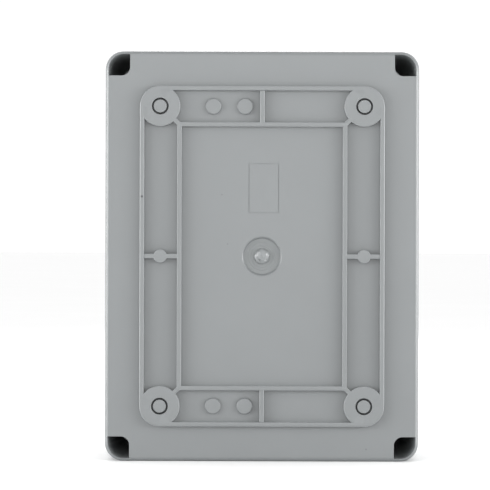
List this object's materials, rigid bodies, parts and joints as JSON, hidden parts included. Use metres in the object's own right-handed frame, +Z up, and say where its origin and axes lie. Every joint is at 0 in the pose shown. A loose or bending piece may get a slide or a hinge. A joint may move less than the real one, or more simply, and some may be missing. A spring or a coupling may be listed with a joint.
{
  "type": "electrical junction box",
  "caption": "Smooth-walled grey plastic junction box with a screw-down lid, ribbed wall-mounting back and a rail of terminals inside.",
  "frame": {"origin": "under the middle of the box, on the surface that its short lower side stands on", "axes": "+Z up along the long side, +Y from the wall-mounting back to the lid, +X to the right seen from behind"},
  "size_m": [0.153, 0.1, 0.2],
  "materials": {
    "enclosure_abs": "fine moulded texture, light grey ABS",
    "gasket_epdm": "extruded black rubber",
    "screw_steel": "zinc plated",
    "nylon": "natural nylon",
    "insert_brass": "turned and knurled",
    "rail_steel": "rolled, zinc plated and passivated",
    "housing_grey": "moulded polyamide",
    "housing_blue": "moulded polyamide",
    "housing_green": "moulded polyamide, yellow over green",
    "bar_tinned": "tinned copper",
    "cage_steel": "pressed, zinc plated",
    "marker_white": "blank moulded tag"
  },
  "bodies": {
    "base": {"enclosure_base": "enclosure_abs", "threaded_insert_top_left": "insert_brass", "threaded_insert_top_right": "insert_brass", "threaded_insert_bottom_left": "insert_brass", "threaded_insert_bottom_right": "insert_brass", "din_rail": "rail_steel", "rail_screw_left": "screw_steel", "rail_screw_right": "screw_steel", "terminal_l1_housing": "housing_grey", "terminal_l1_bar": "bar_tinned", "terminal_l1_marker": "marker_white", "terminal_l2_housing": "housing_grey", "terminal_l2_bar": "bar_tinned", "terminal_l2_marker": "marker_white", "terminal_l3_housing": "housing_grey", "terminal_l3_bar": "bar_tinned", "terminal_l3_marker": "marker_white", "terminal_neutral_housing": "housing_blue", "terminal_neutral_bar": "bar_tinned", "terminal_neutral_marker": "marker_white", "terminal_earth_housing": "housing_green", "terminal_earth_bar": "bar_tinned", "terminal_earth_marker": "marker_white", "terminal_earth_contact": "bar_tinned", "terminal_end_cover": "housing_grey", "end_stop_left": "housing_grey", "end_stop_screw_left": "screw_steel", "end_stop_right": "housing_grey", "end_stop_screw_right": "screw_steel"},
    "lid": {"lid": "enclosure_abs", "lid_gasket": "gasket_epdm"},
    "lid_washer_top_left": {"captive_washer_top_left": "nylon"},
    "lid_screw_top_left": {"lid_screw_top_left": "screw_steel"},
    "lid_washer_top_right": {"captive_washer_top_right": "nylon"},
    "lid_screw_top_right": {"lid_screw_top_right": "screw_steel"},
    "lid_washer_bottom_left": {"captive_washer_bottom_left": "nylon"},
    "lid_screw_bottom_left": {"lid_screw_bottom_left": "screw_steel"},
    "lid_washer_bottom_right": {"captive_washer_bottom_right": "nylon"},
    "lid_screw_bottom_right": {"lid_screw_bottom_right": "screw_steel"},
    "terminal_l1_cage_upper": {"terminal_l1_cage_upper": "cage_steel"},
    "terminal_l1_screw_upper": {"terminal_l1_screw_upper": "screw_steel"},
    "terminal_l1_cage_lower": {"terminal_l1_cage_lower": "cage_steel"},
    "terminal_l1_screw_lower": {"terminal_l1_screw_lower": "screw_steel"},
    "terminal_l2_cage_upper": {"terminal_l2_cage_upper": "cage_steel"},
    "terminal_l2_screw_upper": {"terminal_l2_screw_upper": "screw_steel"},
    "terminal_l2_cage_lower": {"terminal_l2_cage_lower": "cage_steel"},
    "terminal_l2_screw_lower": {"terminal_l2_screw_lower": "screw_steel"},
    "terminal_l3_cage_upper": {"terminal_l3_cage_upper": "cage_steel"},
    "terminal_l3_screw_upper": {"terminal_l3_screw_upper": "screw_steel"},
    "terminal_l3_cage_lower": {"terminal_l3_cage_lower": "cage_steel"},
    "terminal_l3_screw_lower": {"terminal_l3_screw_lower": "screw_steel"},
    "terminal_neutral_cage_upper": {"terminal_neutral_cage_upper": "cage_steel"},
    "terminal_neutral_screw_upper": {"terminal_neutral_screw_upper": "screw_steel"},
    "terminal_neutral_cage_lower": {"terminal_neutral_cage_lower": "cage_steel"},
    "terminal_neutral_screw_lower": {"terminal_neutral_screw_lower": "screw_steel"},
    "terminal_earth_cage_upper": {"terminal_earth_cage_upper": "cage_steel"},
    "terminal_earth_screw_upper": {"terminal_earth_screw_upper": "screw_steel"},
    "terminal_earth_cage_lower": {"terminal_earth_cage_lower": "cage_steel"},
    "terminal_earth_screw_lower": {"terminal_earth_screw_lower": "screw_steel"}
  },
  "joints": [
    {"name": "lid_lift", "type": "slide", "parent": "base", "child": "lid", "axis": [0, 1, 0], "range_m": [0, 0.12]},
    {"name": "lid_screw_top_left_rise", "type": "slide", "parent": "lid", "child": "lid_washer_top_left", "axis": [0, 1, 0], "range_m": [0, 0.0105]},
    {"name": "lid_screw_top_left_turn", "type": "hinge", "parent": "lid_washer_top_left", "child": "lid_screw_top_left", "pos_m": [-0.0692, 0.04, 0.1927], "axis": [0, 1, 0], "range_deg": [0, 5400]},
    {"name": "lid_screw_top_right_rise", "type": "slide", "parent": "lid", "child": "lid_washer_top_right", "axis": [0, 1, 0], "range_m": [0, 0.0105]},
    {"name": "lid_screw_top_right_turn", "type": "hinge", "parent": "lid_washer_top_right", "child": "lid_screw_top_right", "pos_m": [0.0692, 0.04, 0.1927], "axis": [0, 1, 0], "range_deg": [0, 5400]},
    {"name": "lid_screw_bottom_left_rise", "type": "slide", "parent": "lid", "child": "lid_washer_bottom_left", "axis": [0, 1, 0], "range_m": [0, 0.0105]},
    {"name": "lid_screw_bottom_left_turn", "type": "hinge", "parent": "lid_washer_bottom_left", "child": "lid_screw_bottom_left", "pos_m": [-0.0692, 0.04, 0.0073], "axis": [0, 1, 0], "range_deg": [0, 5400]},
    {"name": "lid_screw_bottom_right_rise", "type": "slide", "parent": "lid", "child": "lid_washer_bottom_right", "axis": [0, 1, 0], "range_m": [0, 0.0105]},
    {"name": "lid_screw_bottom_right_turn", "type": "hinge", "parent": "lid_washer_bottom_right", "child": "lid_screw_bottom_right", "pos_m": [0.0692, 0.04, 0.0073], "axis": [0, 1, 0], "range_deg": [0, 5400]},
    {"name": "terminal_l1_screw_upper_turn", "type": "hinge", "parent": "base", "child": "terminal_l1_screw_upper", "pos_m": [-0.0214, 0.0041, 0.1142], "axis": [0, 1, 0], "range_deg": [-2160, 0]},
    {"name": "terminal_l1_cage_upper_rise", "type": "slide", "parent": "base", "child": "terminal_l1_cage_upper", "axis": [0, 1, 0], "range_m": [0, 0.0042]},
    {"name": "terminal_l1_screw_lower_turn", "type": "hinge", "parent": "base", "child": "terminal_l1_screw_lower", "pos_m": [-0.0214, 0.0041, 0.0858], "axis": [0, 1, 0], "range_deg": [-2160, 0]},
    {"name": "terminal_l1_cage_lower_rise", "type": "slide", "parent": "base", "child": "terminal_l1_cage_lower", "axis": [0, 1, 0], "range_m": [0, 0.0042]},
    {"name": "terminal_l2_screw_upper_turn", "type": "hinge", "parent": "base", "child": "terminal_l2_screw_upper", "pos_m": [-0.0112, 0.0041, 0.1142], "axis": [0, 1, 0], "range_deg": [-2160, 0]},
    {"name": "terminal_l2_cage_upper_rise", "type": "slide", "parent": "base", "child": "terminal_l2_cage_upper", "axis": [0, 1, 0], "range_m": [0, 0.0042]},
    {"name": "terminal_l2_screw_lower_turn", "type": "hinge", "parent": "base", "child": "terminal_l2_screw_lower", "pos_m": [-0.0112, 0.0041, 0.0858], "axis": [0, 1, 0], "range_deg": [-2160, 0]},
    {"name": "terminal_l2_cage_lower_rise", "type": "slide", "parent": "base", "child": "terminal_l2_cage_lower", "axis": [0, 1, 0], "range_m": [0, 0.0042]},
    {"name": "terminal_l3_screw_upper_turn", "type": "hinge", "parent": "base", "child": "terminal_l3_screw_upper", "pos_m": [-0.001, 0.0041, 0.1142], "axis": [0, 1, 0], "range_deg": [-2160, 0]},
    {"name": "terminal_l3_cage_upper_rise", "type": "slide", "parent": "base", "child": "terminal_l3_cage_upper", "axis": [0, 1, 0], "range_m": [0, 0.0042]},
    {"name": "terminal_l3_screw_lower_turn", "type": "hinge", "parent": "base", "child": "terminal_l3_screw_lower", "pos_m": [-0.001, 0.0041, 0.0858], "axis": [0, 1, 0], "range_deg": [-2160, 0]},
    {"name": "terminal_l3_cage_lower_rise", "type": "slide", "parent": "base", "child": "terminal_l3_cage_lower", "axis": [0, 1, 0], "range_m": [0, 0.0042]},
    {"name": "terminal_neutral_screw_upper_turn", "type": "hinge", "parent": "base", "child": "terminal_neutral_screw_upper", "pos_m": [0.0092, 0.0041, 0.1142], "axis": [0, 1, 0], "range_deg": [-2160, 0]},
    {"name": "terminal_neutral_cage_upper_rise", "type": "slide", "parent": "base", "child": "terminal_neutral_cage_upper", "axis": [0, 1, 0], "range_m": [0, 0.0042]},
    {"name": "terminal_neutral_screw_lower_turn", "type": "hinge", "parent": "base", "child": "terminal_neutral_screw_lower", "pos_m": [0.0092, 0.0041, 0.0858], "axis": [0, 1, 0], "range_deg": [-2160, 0]},
    {"name": "terminal_neutral_cage_lower_rise", "type": "slide", "parent": "base", "child": "terminal_neutral_cage_lower", "axis": [0, 1, 0], "range_m": [0, 0.0042]},
    {"name": "terminal_earth_screw_upper_turn", "type": "hinge", "parent": "base", "child": "terminal_earth_screw_upper", "pos_m": [0.0194, 0.0041, 0.1142], "axis": [0, 1, 0], "range_deg": [-2160, 0]},
    {"name": "terminal_earth_cage_upper_rise", "type": "slide", "parent": "base", "child": "terminal_earth_cage_upper", "axis": [0, 1, 0], "range_m": [0, 0.0042]},
    {"name": "terminal_earth_screw_lower_turn", "type": "hinge", "parent": "base", "child": "terminal_earth_screw_lower", "pos_m": [0.0194, 0.0041, 0.0858], "axis": [0, 1, 0], "range_deg": [-2160, 0]},
    {"name": "terminal_earth_cage_lower_rise", "type": "slide", "parent": "base", "child": "terminal_earth_cage_lower", "axis": [0, 1, 0], "range_m": [0, 0.0042]}
  ],
  "couplings": [
    {"joint": "lid_screw_top_left_turn", "follows": "lid_screw_top_left_rise", "rad_per_m": 8976},
    {"joint": "lid_screw_top_right_turn", "follows": "lid_screw_top_right_rise", "rad_per_m": 8976},
    {"joint": "lid_screw_bottom_left_turn", "follows": "lid_screw_bottom_left_rise", "rad_per_m": 8976},
    {"joint": "lid_screw_bottom_right_turn", "follows": "lid_screw_bottom_right_rise", "rad_per_m": 8976},
    {"joint": "terminal_l1_screw_upper_turn", "follows": "terminal_l1_cage_upper_rise", "rad_per_m": -8976},
    {"joint": "terminal_l1_screw_lower_turn", "follows": "terminal_l1_cage_lower_rise", "rad_per_m": -8976},
    {"joint": "terminal_l2_screw_upper_turn", "follows": "terminal_l2_cage_upper_rise", "rad_per_m": -8976},
    {"joint": "terminal_l2_screw_lower_turn", "follows": "terminal_l2_cage_lower_rise", "rad_per_m": -8976},
    {"joint": "terminal_l3_screw_upper_turn", "follows": "terminal_l3_cage_upper_rise", "rad_per_m": -8976},
    {"joint": "terminal_l3_screw_lower_turn", "follows": "terminal_l3_cage_lower_rise", "rad_per_m": -8976},
    {"joint": "terminal_neutral_screw_upper_turn", "follows": "terminal_neutral_cage_upper_rise", "rad_per_m": -8976},
    {"joint": "terminal_neutral_screw_lower_turn", "follows": "terminal_neutral_cage_lower_rise", "rad_per_m": -8976},
    {"joint": "terminal_earth_screw_upper_turn", "follows": "terminal_earth_cage_upper_rise", "rad_per_m": -8976},
    {"joint": "terminal_earth_screw_lower_turn", "follows": "terminal_earth_cage_lower_rise", "rad_per_m": -8976}
  ]
}
